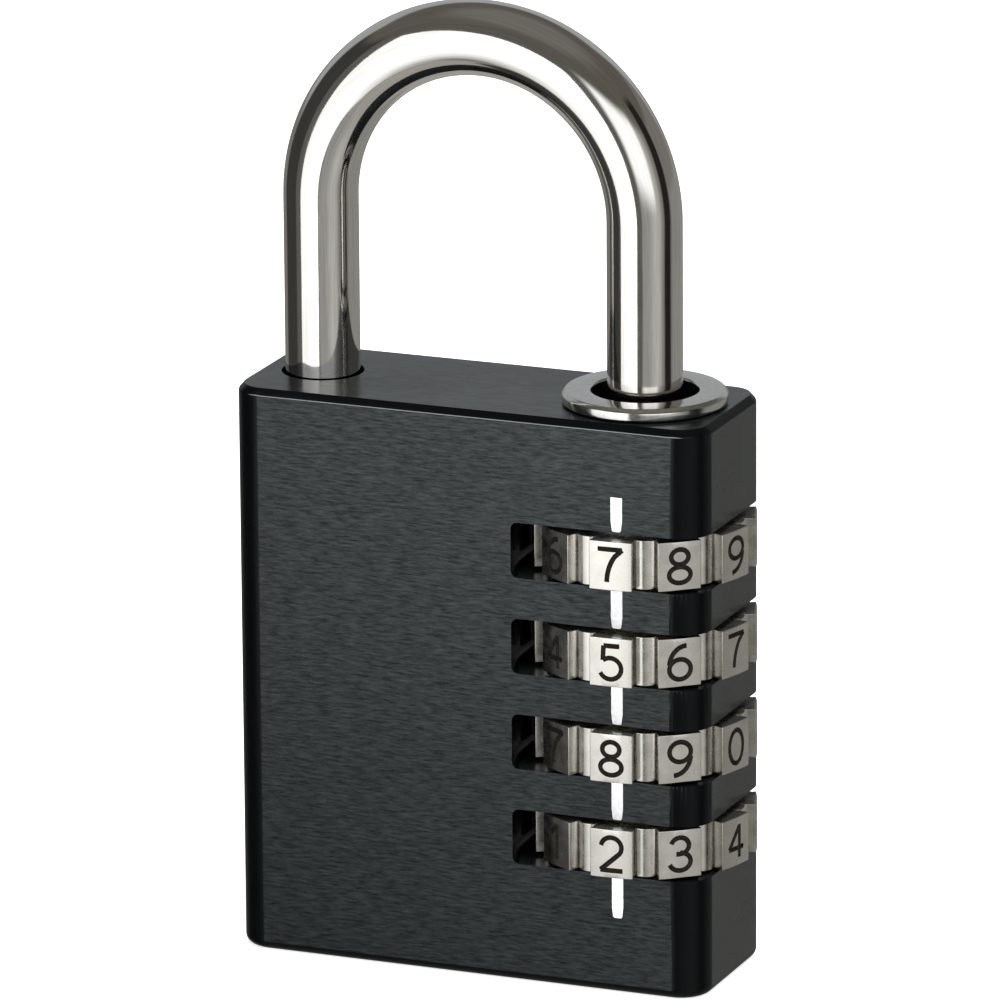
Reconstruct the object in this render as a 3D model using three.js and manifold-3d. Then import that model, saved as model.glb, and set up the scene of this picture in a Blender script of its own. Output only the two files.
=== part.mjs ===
// Four-dial combination padlock: a block body with edge dials, a steel shackle that lifts on its
// long leg, and the lock work threaded on that leg: clutch sleeves, washers, a spring and a clip.
//
// Units are millimetres. X runs from the shackle's short leg to the dials, -Y is the front face,
// +Z is up, and the origin is the middle of the body's bottom face. The dials stand at the
// combination that opens the lock, so every sleeve's gate is over its lug.

import * as THREE from 'three';
import { mergeVertices } from 'three/addons/utils/BufferGeometryUtils.js';
import Module from 'manifold-3d';

const wasm = await Module();
wasm.setup();

// ---------------------------------------------------------------- driving dimensions

const BODY_WIDTH = 40;
const FRONT_WALL = 1.13;          // body wall in front of and behind the lock bore
const EDGE_RADIUS = 2.65;          // the body's four upright edges
const TOP_CHAMFER = 0.4;
const BASE_ROUNDING = 0.8;

const ROD_DIAMETER = 6;         // shackle steel
const TOE_INSET = 5.09;           // short leg's axis to the body's left side
const SHACKLE_CLEARANCE = 25.25;  // body top to the inside of the crown
const TOE_OPEN_GAP = 1.1;         // short leg above the body when the shackle is up
const TOE_HOLE_SPARE = 1.5;       // hole depth below the short leg
const LEG_TIP_CHAMFER = 0.6;

const LUG_REACH = 1.05;           // locking lugs on the long leg
const LUG_WIDTH = 2.2;
const LUG_HEIGHT = 2.2;
const LUG_TO_GATE = 0.3;          // lug to the gate above it, shackle down
const LUG_PAST_GATE = 0.5;        // lug above the gate, shackle up

const SLEEVE_WALL = 1.0;
const KEY_REACH = 0.5;            // sleeve keys that the dial's notches hold
const KEY_WIDTH = 1.2;
const GATE_SHORTER_THAN_DIAL = 0.3;

const DIAL_COUNT = 4;
const DIAL_POSITIONS = 10;
const DIAL_PITCH = 7.865;
const DIAL_HEIGHT = 3.97;
const DIAL_WALL = 1.5;            // metal between the notches and the grip grooves
const READING_ANGLE = 3;        // the numbers read this many degrees round from straight ahead
const PAD_SHARE = 0.634;          // number pad's part of one position's angle
const GRIP_DEPTH = 1.28;          // grip groove below the corners of the number pads
const RIB_HEIGHT = 0.55;          // finger rib above the groove's floor
const RIB_SHARE = 0.72;           // rib's width against the groove's
const RIB_CROWN = 0.4;            // how much of its height the rib loses towards its edges
const GROOVE_FLOOR_SHARE = 0.9;   // groove's floor against its width at the pads
const DIAL_PROUD = 1.5;          // dials past the body's right side
const SLOT_GAP = 0.28;           // above and below each dial
const SLOT_END_GAP = 0.98;        // dial to the inner end of its slot
const SLOT_CUTTER_RADIUS = 20;

const COLLAR_WALL = 1.0;
const COLLAR_MARGIN = 0.7;         // collar's rim to the body's front face
const COLLAR_THICKNESS = 0.83;
const COLLAR_LIFT = 0.29;         // shadow gap under the collar
const COLLAR_CHAMFER = 0.3;
const SPIGOT_DEPTH = 2.4;
const BRIDGE_HEIGHT = 5.255;       // solid metal between the collar's pocket and the lock bore

const WASHER_THICKNESS = 0.6;
const PLUG_THICKNESS = 1.3;
const SPRING_WIRE = 0.7;
const SPRING_TURNS = 2.5;
const CLIP_THICKNESS = 0.5;
const CLIP_SEAT = 0.8;            // how far the clip's groove is cut into the long leg
const CLIP_MOUTH = 60;            // degrees
const LEG_TAIL = 0.4;             // long leg below the clip's groove
const STOP_GAP = 0.46;            // clip's groove to the lowest gate, shackle up
const LEAF_THICKNESS = 0.2;
const LEAF_HEIGHT = 2.6;
const LEAF_LENGTH = 6;
const LEAF_NOSE_WIDTH = 1.5;

const GAP = 0.3;                  // clearance between neighbouring pieces
const SLIDE_GAP = 0.2;            // shackle leg in its holes
const CLIP_GAP = 0.15;
const KEY_GAP = 0.15;

// ---------------------------------------------------------------- derived dimensions

const rodRadius = ROD_DIAMETER / 2;
const lugRadius = rodRadius + LUG_REACH;
const gateBore = rodRadius + SLIDE_GAP;
const skirtBore = lugRadius + GAP;
const sleeveRadius = skirtBore + SLEEVE_WALL;
const keyRadius = sleeveRadius + KEY_REACH;
const lockBore = keyRadius + GAP;
const bodyDepth = 2 * (lockBore + FRONT_WALL);
const collarHole = lugRadius + SLIDE_GAP;

const dialBore = sleeveRadius + GAP;
const notchRadius = keyRadius + GAP;
const grooveRadius = notchRadius + DIAL_WALL;
const dialRadius = grooveRadius + GRIP_DEPTH;
const ribRadius = grooveRadius + RIB_HEIGHT;
const slotHeight = DIAL_HEIGHT + 2 * SLOT_GAP;

const dialX = BODY_WIDTH / 2 + DIAL_PROUD - dialRadius;
const toeX = TOE_INSET - BODY_WIDTH / 2;
const crownRadius = (dialX - toeX) / 2;
const crownX = (dialX + toeX) / 2;

const gateHeight = DIAL_HEIGHT - GATE_SHORTER_THAN_DIAL;
const sleeveHeight = DIAL_PITCH - GAP;
const shackleLift = LUG_TO_GATE + LUG_HEIGHT + gateHeight + LUG_PAST_GATE;
const toeDepth = shackleLift - TOE_OPEN_GAP;

const plugBottom = GAP;
const plugTop = plugBottom + PLUG_THICKNESS;
const legBottom = plugTop + GAP;
const clipGrooveBottom = legBottom + LEG_TAIL;
const clipGrooveTop = clipGrooveBottom + CLIP_THICKNESS + 2 * CLIP_GAP;
const lowestDial = clipGrooveTop + shackleLift + STOP_GAP + gateHeight / 2;
const highestDial = lowestDial + (DIAL_COUNT - 1) * DIAL_PITCH;
const washerBottom = highestDial + gateHeight / 2 + GAP;
const lockBoreTop = washerBottom + WASHER_THICKNESS + GAP;
const collarPocketBottom = lockBoreTop + BRIDGE_HEIGHT;
const bodyHeight = collarPocketBottom + SPIGOT_DEPTH + GAP;
const crownCentre = bodyHeight + SHACKLE_CLEARANCE + rodRadius - crownRadius;
const seatTop = lowestDial + gateHeight / 2 - sleeveHeight - GAP;
const seatBottom = seatTop - WASHER_THICKNESS;

const BORE_SIDES = 48;
const ROD_SIDES = 24;
const CROWN_STEPS = 24;
const PAST = 1;                   // how far a cutter runs past the metal it cuts

const frontAngle = -Math.PI / 2;
const notchAngle = (index) => frontAngle + (index * 2 * Math.PI) / DIAL_POSITIONS;
const padAngle = (index) => notchAngle(index) + THREE.MathUtils.degToRad(READING_ANGLE);
const dialMiddle = (index) => highestDial - index * DIAL_PITCH;

// ---------------------------------------------------------------- shape helpers

function solidOf(geometry) {
  const bare = geometry.clone();
  bare.deleteAttribute('normal');
  bare.deleteAttribute('uv');
  const merged = mergeVertices(bare, 1e-4);
  return new wasm.Manifold(new wasm.Mesh({
    numProp: 3,
    vertProperties: new Float32Array(merged.attributes.position.array),
    triVerts: new Uint32Array(merged.index.array),
  }));
}

function geometryOf(solid) {
  const mesh = solid.getMesh();
  const geometry = new THREE.BufferGeometry();
  geometry.setAttribute('position', new THREE.BufferAttribute(mesh.vertProperties, 3));
  geometry.setIndex(new THREE.BufferAttribute(mesh.triVerts, 1));
  geometry.computeVertexNormals();
  return geometry;
}

// An outline in X and Y raised from one height to another.
function prism(shape, low, high, curveSegments = 6) {
  const options = { depth: high - low, bevelEnabled: false, curveSegments };
  return new THREE.ExtrudeGeometry(shape, options).translate(0, 0, low);
}

function drum(radius, low, high, sides = BORE_SIDES) {
  const cylinder = new THREE.CylinderGeometry(radius, radius, high - low, sides);
  return solidOf(cylinder.rotateX(Math.PI / 2).translate(0, 0, (low + high) / 2));
}

function block(lowCorner, highCorner) {
  const size = highCorner.map((value, i) => value - lowCorner[i]);
  const middle = highCorner.map((value, i) => (value + lowCorner[i]) / 2);
  return solidOf(new THREE.BoxGeometry(...size).translate(...middle));
}

// A closed profile of [radius, height] points turned about the vertical axis.
function turned(profile) {
  const points = [...profile, profile[0]].map(([radius, height]) => new THREE.Vector2(radius, height));
  return new THREE.LatheGeometry(points, BORE_SIDES).rotateX(Math.PI / 2);
}

function washer(outer, inner, low, high) {
  return turned([[inner, low], [outer, low], [outer, high], [inner, high]]);
}

function polar(radius, angle) {
  return new THREE.Vector2(radius * Math.cos(angle), radius * Math.sin(angle));
}

function roundedRectangle(width, depth, radius) {
  const x = width / 2 - radius;
  const y = depth / 2 - radius;
  const shape = new THREE.Shape();
  shape.moveTo(x, -y - radius);
  shape.absarc(x, -y, radius, -Math.PI / 2, 0);
  shape.absarc(x, y, radius, 0, Math.PI / 2);
  shape.absarc(-x, y, radius, Math.PI / 2, Math.PI);
  shape.absarc(-x, -y, radius, Math.PI, 1.5 * Math.PI);
  return shape;
}

// An upright block whose end edges are eased by the same amount at the top and the bottom.
function easedBlock(low, high, ease, steps) {
  const options = {
    depth: high - low - 2 * ease,
    bevelThickness: ease,
    bevelSize: ease,
    bevelOffset: -ease,
    bevelSegments: steps,
    curveSegments: 4,
  };
  const outline = roundedRectangle(BODY_WIDTH, bodyDepth, EDGE_RADIUS);
  return solidOf(new THREE.ExtrudeGeometry(outline, options).translate(0, 0, low + ease));
}

function piece(name, geometry, finish, x = 0, z = 0) {
  const mesh = new THREE.Mesh(geometry, new THREE.MeshStandardMaterial(finish));
  mesh.name = name;
  mesh.position.set(x, 0, z);
  return mesh;
}

// ---------------------------------------------------------------- body

// The slot's inner end is the arc that a disc cutter leaves, deepest in the middle of the body.
function slotCutter(middle) {
  const reach = bodyDepth / 2 + PAST;
  const halfTurn = Math.asin(reach / SLOT_CUTTER_RADIUS);
  const deepest = dialX - dialRadius - SLOT_END_GAP;
  const right = BODY_WIDTH / 2 + PAST;
  const shape = new THREE.Shape();
  shape.moveTo(right, -reach);
  shape.lineTo(right, reach);
  shape.absarc(deepest + SLOT_CUTTER_RADIUS, 0, SLOT_CUTTER_RADIUS, Math.PI - halfTurn, Math.PI + halfTurn);
  return solidOf(prism(shape, middle - slotHeight / 2, middle + slotHeight / 2));
}

function bodyGeometry() {
  const easedBase = easedBlock(0, bodyHeight + PAST + BASE_ROUNDING, BASE_ROUNDING, 3);
  const easedTop = easedBlock(-PAST - TOP_CHAMFER, bodyHeight, TOP_CHAMFER, 1);
  let solid = easedBase.intersect(easedTop);
  const lockHoles = [
    drum(lockBore, -PAST, lockBoreTop),
    drum(skirtBore, lockBoreTop - PAST, bodyHeight),
    drum(collarHole + COLLAR_WALL + GAP, collarPocketBottom, bodyHeight + PAST),
  ];
  for (const hole of lockHoles) {
    solid = solid.subtract(hole.translate(dialX, 0, 0));
  }
  const toeHole = drum(rodRadius + GAP, bodyHeight - toeDepth - TOE_HOLE_SPARE, bodyHeight + PAST);
  solid = solid.subtract(toeHole.translate(toeX, 0, 0));
  for (let index = 0; index < DIAL_COUNT; index += 1) {
    solid = solid.subtract(slotCutter(dialMiddle(index)));
  }
  return geometryOf(solid);
}

function collarGeometry() {
  const rim = bodyDepth / 2 - COLLAR_MARGIN;
  const spigot = collarHole + COLLAR_WALL;
  const under = COLLAR_LIFT;
  const top = COLLAR_LIFT + COLLAR_THICKNESS;
  const smallEase = COLLAR_CHAMFER / 3;
  return turned([
    [collarHole, -SPIGOT_DEPTH],
    [spigot, -SPIGOT_DEPTH],
    [spigot, under],
    [rim - smallEase, under],
    [rim, under + smallEase],
    [rim, top - COLLAR_CHAMFER],
    [rim - COLLAR_CHAMFER, top],
    [collarHole + smallEase, top],
    [collarHole, top - smallEase],
  ]);
}

function plugGeometry() {
  const radius = lockBore - GAP;
  const ease = PLUG_THICKNESS / 3;
  return turned([
    [0, plugBottom],
    [radius - ease, plugBottom],
    [radius, plugBottom + ease],
    [radius, plugTop],
    [0, plugTop],
  ]);
}

// ---------------------------------------------------------------- shackle

// Up the long leg, over the half-round crown and down the short leg. The stations are spaced so
// that each straight leg is one step.
class ShackleLine extends THREE.Curve {
  getPoint(t, target = new THREE.Vector3()) {
    const station = t * (CROWN_STEPS + 2);
    if (station <= 1) {
      return target.set(crownRadius, 0, THREE.MathUtils.lerp(legBottom, crownCentre, station));
    }
    if (station >= CROWN_STEPS + 1) {
      const toeBottom = bodyHeight - toeDepth;
      const down = station - CROWN_STEPS - 1;
      return target.set(-crownRadius, 0, THREE.MathUtils.lerp(crownCentre, toeBottom, down));
    }
    const angle = ((station - 1) / CROWN_STEPS) * Math.PI;
    const height = crownCentre + crownRadius * Math.sin(angle);
    return target.set(crownRadius * Math.cos(angle), 0, height);
  }

  getPointAt(u, target) {
    return this.getPoint(u, target);
  }

  getTangentAt(u, target = new THREE.Vector3()) {
    const turn = THREE.MathUtils.clamp((u * (CROWN_STEPS + 2) - 1) / CROWN_STEPS, 0, 1) * Math.PI;
    return target.set(-Math.sin(turn), 0, Math.cos(turn));
  }
}

function roundSection(radius, sides) {
  const points = [];
  for (let side = 0; side < sides; side += 1) {
    points.push(polar(radius, (side * 2 * Math.PI) / sides));
  }
  return new THREE.Shape(points);
}

function swept(section, line, steps) {
  return solidOf(new THREE.ExtrudeGeometry(section, { steps, extrudePath: line, bevelEnabled: false }));
}

// A plain cone-ended sleeve of metal to remove, which leaves a chamfered tip on a leg.
function tipCutter(tipHeight) {
  const outer = rodRadius + PAST;
  const drop = PAST + LEG_TIP_CHAMFER;
  return solidOf(turned([
    [rodRadius - LEG_TIP_CHAMFER - PAST, tipHeight - PAST],
    [outer, tipHeight - PAST],
    [outer, tipHeight + drop],
  ]));
}

function lug(index) {
  const top = dialMiddle(index) - gateHeight / 2 - LUG_TO_GATE;
  const bottom = top - LUG_HEIGHT;
  const bar = block([-lugRadius - PAST, -LUG_WIDTH / 2, bottom], [0, LUG_WIDTH / 2, top]);
  return bar.intersect(drum(lugRadius, bottom, top));
}

function clipGroove() {
  const ring = washer(rodRadius + PAST, rodRadius - CLIP_SEAT, clipGrooveBottom, clipGrooveTop);
  return solidOf(ring);
}

function shackleGeometry() {
  const line = new ShackleLine();
  let solid = swept(roundSection(rodRadius, ROD_SIDES), line, CROWN_STEPS + 2);
  const toeTip = tipCutter(bodyHeight - toeDepth).translate(-crownRadius, 0, 0);
  solid = solid.subtract(toeTip).subtract(clipGroove().translate(crownRadius, 0, 0));
  for (let index = 0; index < DIAL_COUNT; index += 1) {
    solid = solid.add(lug(index).translate(crownRadius, 0, 0));
  }
  return geometryOf(solid);
}

function clipGeometry() {
  const outer = lugRadius + SLIDE_GAP / 2;
  const inner = rodRadius - CLIP_SEAT + CLIP_GAP;
  const mouth = THREE.MathUtils.degToRad(CLIP_MOUTH / 2);
  const shape = new THREE.Shape();
  shape.absarc(0, 0, outer, mouth, 2 * Math.PI - mouth);
  shape.absarc(0, 0, inner, 2 * Math.PI - mouth, mouth, true);
  const low = clipGrooveBottom + CLIP_GAP;
  return prism(shape, low, low + CLIP_THICKNESS, 12);
}

// ---------------------------------------------------------------- dials and sleeves

// Ten flat number pads, with a rounded finger rib in the groove between each two.
function dialOutline() {
  const step = (2 * Math.PI) / DIAL_POSITIONS;
  const padHalf = (PAD_SHARE * step) / 2;
  const grooveHalf = step / 2 - padHalf;
  const points = [];
  for (let index = 0; index < DIAL_POSITIONS; index += 1) {
    const pad = padAngle(index);
    const rib = pad + step / 2;
    points.push(polar(dialRadius, pad - padHalf));
    points.push(polar(dialRadius, pad + padHalf));
    points.push(polar(grooveRadius, rib - GROOVE_FLOOR_SHARE * grooveHalf));
    for (const share of [-1, -0.5, 0, 0.5, 1]) {
      const radius = ribRadius - RIB_CROWN * RIB_HEIGHT * share * share;
      points.push(polar(radius, rib + share * RIB_SHARE * grooveHalf));
    }
    points.push(polar(grooveRadius, rib + GROOVE_FLOOR_SHARE * grooveHalf));
  }
  return new THREE.Shape(points);
}

function notchedBore() {
  const half = (KEY_WIDTH / 2 + KEY_GAP) / notchRadius;
  const step = (2 * Math.PI) / DIAL_POSITIONS;
  const points = [];
  for (let index = 0; index < DIAL_POSITIONS; index += 1) {
    const notch = notchAngle(index);
    points.push(polar(dialBore, notch - half));
    points.push(polar(notchRadius, notch - half));
    points.push(polar(notchRadius, notch + half));
    points.push(polar(dialBore, notch + half));
    points.push(polar(dialBore, notch + step / 2));
  }
  return new THREE.Path(points);
}

function dialGeometry() {
  const shape = dialOutline();
  shape.holes.push(notchedBore());
  return prism(shape, -DIAL_HEIGHT / 2, DIAL_HEIGHT / 2);
}

// The upper part is a gate that a lug passes only when the slot in it is over the lug. The lug
// waits in the wider skirt below. Two keys turn the sleeve with its dial.
function sleeveGeometry() {
  const top = gateHeight / 2;
  const bottom = top - sleeveHeight;
  let solid = drum(sleeveRadius, bottom, top);
  const keyBar = block([-KEY_WIDTH / 2, -keyRadius, -top], [KEY_WIDTH / 2, keyRadius, top]);
  solid = solid.add(keyBar.intersect(drum(keyRadius, -top, top)));
  const gateSide = LUG_WIDTH / 2 + GAP;
  const gateSlot = block([-skirtBore, -gateSide, -top - PAST], [0, gateSide, top + PAST]);
  solid = solid.subtract(gateSlot.intersect(drum(skirtBore, -top - PAST, top + PAST)));
  solid = solid.subtract(drum(gateBore, bottom, top + PAST));
  solid = solid.subtract(drum(skirtBore, bottom - PAST, -top));
  return geometryOf(solid);
}

// ---------------------------------------------------------------- springs

class Helix extends THREE.Curve {
  constructor(radius, low, high, turns) {
    super();
    Object.assign(this, { radius, low, high, turns });
  }

  getPoint(t, target = new THREE.Vector3()) {
    const spot = polar(this.radius, t * this.turns * 2 * Math.PI);
    return target.set(spot.x, spot.y, THREE.MathUtils.lerp(this.low, this.high, t));
  }
}

function sleeveSpringGeometry() {
  const wireRadius = SPRING_WIRE / 2;
  const low = plugTop + GAP + wireRadius;
  const high = seatBottom - GAP - wireRadius;
  const line = new Helix((skirtBore + lockBore) / 2, low, high, SPRING_TURNS);
  const section = roundSection(wireRadius, 8);
  const steps = Math.round(SPRING_TURNS * 20);
  return new THREE.ExtrudeGeometry(section, { steps, extrudePath: line, bevelEnabled: false });
}

// A bowed strip at the inner end of a dial's slot. Its nose drops onto the rib between two number
// pads and clicks as the dial turns.
function leafGeometry() {
  const seat = dialX - dialRadius - SLOT_END_GAP / 2;
  const nose = dialX - ribRadius - GAP;
  const noseMiddle = -ribRadius * Math.sin(THREE.MathUtils.degToRad(READING_ANGLE));
  const back = seat - LEAF_THICKNESS / 2;
  const front = seat + LEAF_THICKNESS / 2;
  const noseFoot = LEAF_NOSE_WIDTH / 2;
  const halfLength = LEAF_LENGTH / 2;
  const noseBack = noseFoot - LEAF_THICKNESS;
  const shape = new THREE.Shape();
  shape.moveTo(back, -halfLength);
  shape.lineTo(front, -halfLength);
  shape.lineTo(front, noseMiddle - noseFoot);
  shape.quadraticCurveTo(front + 2 * (nose - front), noseMiddle, front, noseMiddle + noseFoot);
  shape.lineTo(front, halfLength);
  shape.lineTo(back, halfLength);
  shape.lineTo(back, noseMiddle + noseBack);
  shape.quadraticCurveTo(back + 2 * (nose - front), noseMiddle, back, noseMiddle - noseBack);
  return prism(shape, -LEAF_HEIGHT / 2, LEAF_HEIGHT / 2);
}

// ---------------------------------------------------------------- assembly

const BLACK_ALUMINIUM = { color: 0x2c3134, roughness: 0.5, metalness: 0.6 };
const POLISHED_STEEL = { color: 0xc9c9c6, roughness: 0.15, metalness: 1 };
const SATIN_NICKEL = { color: 0xb9b5ab, roughness: 0.35, metalness: 1 };
const BRASS = { color: 0xb8975a, roughness: 0.4, metalness: 1 };
const SPRING_STEEL = { color: 0x7d8083, roughness: 0.35, metalness: 1 };

const padlock = new THREE.Group();

padlock.add(piece('body', bodyGeometry(), BLACK_ALUMINIUM));
padlock.add(piece('shackle', shackleGeometry(), POLISHED_STEEL, crownX));
padlock.add(piece('shackle_collar', collarGeometry(), POLISHED_STEEL, dialX, bodyHeight));
padlock.add(piece('bottom_plug', plugGeometry(), BLACK_ALUMINIUM, dialX));
padlock.add(piece('retaining_clip', clipGeometry(), SPRING_STEEL, dialX));

const washerHole = skirtBore + SLIDE_GAP / 2;
const washerTop = washerBottom + WASHER_THICKNESS;
const thrustWasher = washer(keyRadius, washerHole, washerBottom, washerTop);
const springSeat = washer(keyRadius, washerHole, seatBottom, seatTop);
padlock.add(piece('thrust_washer', thrustWasher, SPRING_STEEL, dialX));
padlock.add(piece('spring_seat', springSeat, SPRING_STEEL, dialX));
padlock.add(piece('sleeve_spring', sleeveSpringGeometry(), SPRING_STEEL, dialX));

for (let index = 0; index < DIAL_COUNT; index += 1) {
  const number = index + 1;
  padlock.add(piece(`dial_${number}`, dialGeometry(), SATIN_NICKEL, dialX, dialMiddle(index)));
  padlock.add(piece(`sleeve_${number}`, sleeveGeometry(), BRASS, dialX, dialMiddle(index)));
  padlock.add(piece(`click_leaf_${number}`, leafGeometry(), SPRING_STEEL, 0, dialMiddle(index)));
}

export default padlock;
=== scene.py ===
# Looks of the four-dial combination padlock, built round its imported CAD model.
#
# Lengths are metres and the axes are the model's: X towards the dials, -Y the front, Z up.
# The frame gives the place and size of every CAD piece; the finer sizes are named below.

import math

import bmesh
import bpy
from mathutils import Matrix, Vector


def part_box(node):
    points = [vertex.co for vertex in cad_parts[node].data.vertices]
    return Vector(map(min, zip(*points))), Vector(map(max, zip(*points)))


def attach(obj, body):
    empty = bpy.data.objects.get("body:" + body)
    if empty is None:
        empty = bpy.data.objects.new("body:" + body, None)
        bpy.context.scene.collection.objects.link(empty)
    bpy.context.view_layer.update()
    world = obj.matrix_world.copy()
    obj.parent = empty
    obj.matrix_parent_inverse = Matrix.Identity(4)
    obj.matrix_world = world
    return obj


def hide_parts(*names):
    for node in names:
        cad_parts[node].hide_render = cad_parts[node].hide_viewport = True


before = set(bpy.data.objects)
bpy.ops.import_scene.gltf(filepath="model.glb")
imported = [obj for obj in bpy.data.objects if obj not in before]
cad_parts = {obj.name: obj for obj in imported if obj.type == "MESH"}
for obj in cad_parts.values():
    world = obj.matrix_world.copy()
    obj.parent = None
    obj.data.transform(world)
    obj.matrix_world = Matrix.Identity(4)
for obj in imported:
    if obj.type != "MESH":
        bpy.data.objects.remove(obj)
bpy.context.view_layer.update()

MM = 0.001
TURN = 2 * math.pi

# ---------------------------------------------------------------- sizes

body_low, body_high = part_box("body")
BODY_WIDTH = body_high.x - body_low.x
BODY_DEPTH = body_high.y - body_low.y
BODY_TOP = body_high.z
FRONT = body_low.y

washer_low, washer_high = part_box("thrust_washer")
DIAL_X = (washer_low.x + washer_high.x) / 2
KEY_RADIUS = (washer_high.x - washer_low.x) / 2

DIALS = [f"dial_{number}" for number in range(1, 5)]
SHOWN_DIGITS = [7, 5, 8, 2]
dial_low, dial_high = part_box("dial_1")
DIAL_HEIGHT = dial_high.z - dial_low.z
DIAL_MIDDLES = [(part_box(name)[0].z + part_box(name)[1].z) / 2 for name in DIALS]

shackle_low, shackle_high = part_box("shackle")
ROD_RADIUS = (shackle_high.y - shackle_low.y) / 2
TOE_X = shackle_low.x + ROD_RADIUS
CROWN_RADIUS = (DIAL_X - TOE_X) / 2
CROWN_X = (DIAL_X + TOE_X) / 2
CROWN_CENTRE = shackle_high.z - ROD_RADIUS - CROWN_RADIUS
LEG_BOTTOM = shackle_low.z

GAP = 0.3 * MM
SLIDE_GAP = 0.2 * MM
EDGE_RADIUS = 2.65 * MM
TOP_CHAMFER = 0.46 * MM
# The narrow facet under the top chamfer, which carries the painted glint, a painted highlight.
GLINT_EDGE_HEIGHT = 0.17 * MM
GLINT_EDGE_INSET = 0.06 * MM
BASE_ROUNDING = 0.8 * MM
FINE_EDGE = 0.09 * MM

SLOT_GAP = 0.28 * MM
SLOT_END_GAP = 0.98 * MM
SLOT_CUTTER_RADIUS = 20 * MM
SLOT_CUTTER_ROUNDING = 0.55 * MM
LUG_REACH = 1.05 * MM
LUG_WIDTH = 2.2 * MM
LUG_HEIGHT = 2.2 * MM
TOE_DEPTH = 5.57 * MM
TOE_HOLE_SPARE = 1.5 * MM
ROD_TIP = 0.5 * MM
KEY_REACH = 0.5 * MM
KEY_HALF_WIDTH = 0.6 * MM
KEY_NOTCH_HALF_WIDTH = 0.75 * MM
CLIP_GROOVE_DEPTH = 0.8 * MM
CLIP_GRIP = 0.65 * MM
CLIP_MOUTH = math.radians(30)

LOCK_BORE = KEY_RADIUS + GAP
LOCK_BORE_TOP = washer_high.z + GAP
LUG_RADIUS = ROD_RADIUS + LUG_REACH
SKIRT_BORE = LUG_RADIUS + GAP
GATE_BORE = ROD_RADIUS + SLIDE_GAP
SLEEVE_RADIUS = KEY_RADIUS - KEY_REACH
GATE_HALF_HEIGHT = (DIAL_HEIGHT - GAP) / 2
GATE_HALF_WIDTH = LUG_WIDTH / 2 + GAP

collar_low, collar_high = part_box("shackle_collar")
COLLAR_RIM = (collar_high.x - collar_low.x) / 2
COLLAR_HOLE = LUG_RADIUS + SLIDE_GAP
COLLAR_SPIGOT = COLLAR_HOLE + 1.0 * MM
COLLAR_POCKET = COLLAR_SPIGOT + GAP
COLLAR_LIFT = 0.1 * MM
COLLAR_CHAMFER = 0.3 * MM
COLLAR_EASE = 0.12 * MM

POSITIONS = 10
READING_ANGLE = math.radians(3)
DIAL_WALL = 1.5 * MM
DIAL_EDGE = 0.12 * MM
GRIP_DEPTH = 1.28 * MM
RIB_HEIGHT = 0.55 * MM
GROOVE_RADIUS = LOCK_BORE + DIAL_WALL
GROOVE_FLOOR_SHARE = 0.92
DIAL_RADIUS = GROOVE_RADIUS + GRIP_DEPTH
PAD_SHARE = 0.634
RIB_TOP = GROOVE_RADIUS + RIB_HEIGHT
RIB_SHARE = 0.8
RIB_CROWN = 0.4
PAD_BULGE = 0.078 * MM
STROKE_RADIUS = 0.21 * MM
STROKE_DEPTH = 0.12 * MM
STROKE_STEP = 0.004 * MM
DIGIT_HEIGHT = 2.72 * MM
DIGIT_WIDTH = 2.85 * MM

LINE_X = 12.97 * MM
LINE_WIDTH = 0.95 * MM
LINE_TOP = 40.8 * MM
LINE_BOTTOM = 6.3 * MM
LINE_TIP_SHARE = 0.8
PAINT = 0.03 * MM

# ---------------------------------------------------------------- mesh helpers


def mesh_object(name, bm, material):
    bmesh.ops.recalc_face_normals(bm, faces=bm.faces)
    mesh = bpy.data.meshes.new(name)
    bm.to_mesh(mesh)
    bm.free()
    mesh.materials.append(material)
    obj = bpy.data.objects.new(name, mesh)
    bpy.context.scene.collection.objects.link(obj)
    return obj


def bridge(bm, ring, other):
    """Quads between two closed rings of the same length; a ring of one vertex makes a fan."""
    count = max(len(ring), len(other))
    for i in range(count):
        j = (i + 1) % count
        if len(ring) == 1:
            bm.faces.new((ring[0], other[j], other[i]))
        elif len(other) == 1:
            bm.faces.new((ring[i], ring[j], other[0]))
        else:
            bm.faces.new((ring[i], ring[j], other[j], other[i]))


def stack(levels):
    """A solid through level outlines, each a list of points, closed by flat caps."""
    bm = bmesh.new()
    rings = [[bm.verts.new(point) for point in level] for level in levels]
    for ring, other in zip(rings, rings[1:]):
        bridge(bm, ring, other)
    bm.faces.new(rings[0])
    bm.faces.new(rings[-1])
    return bm


def prism(outline, low, high):
    return stack([[(x, y, z) for x, y in outline] for z in (low, high)])


def turned(profile, segments=96):
    """A solid of revolution about Z from a profile of (radius, height) points."""
    bm = bmesh.new()
    rings = []
    for radius, height in profile:
        count = segments if radius > 0 else 1
        angles = [TURN * i / segments for i in range(count)]
        ring = [(radius * math.cos(a), radius * math.sin(a), height) for a in angles]
        rings.append([bm.verts.new(point) for point in ring])
    ends_on_axis = profile[0][0] == 0 and profile[-1][0] == 0
    for ring, other in zip(rings, rings[1:]):
        bridge(bm, ring, other)
    if not ends_on_axis:
        bridge(bm, rings[-1], rings[0])
    return bm


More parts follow.
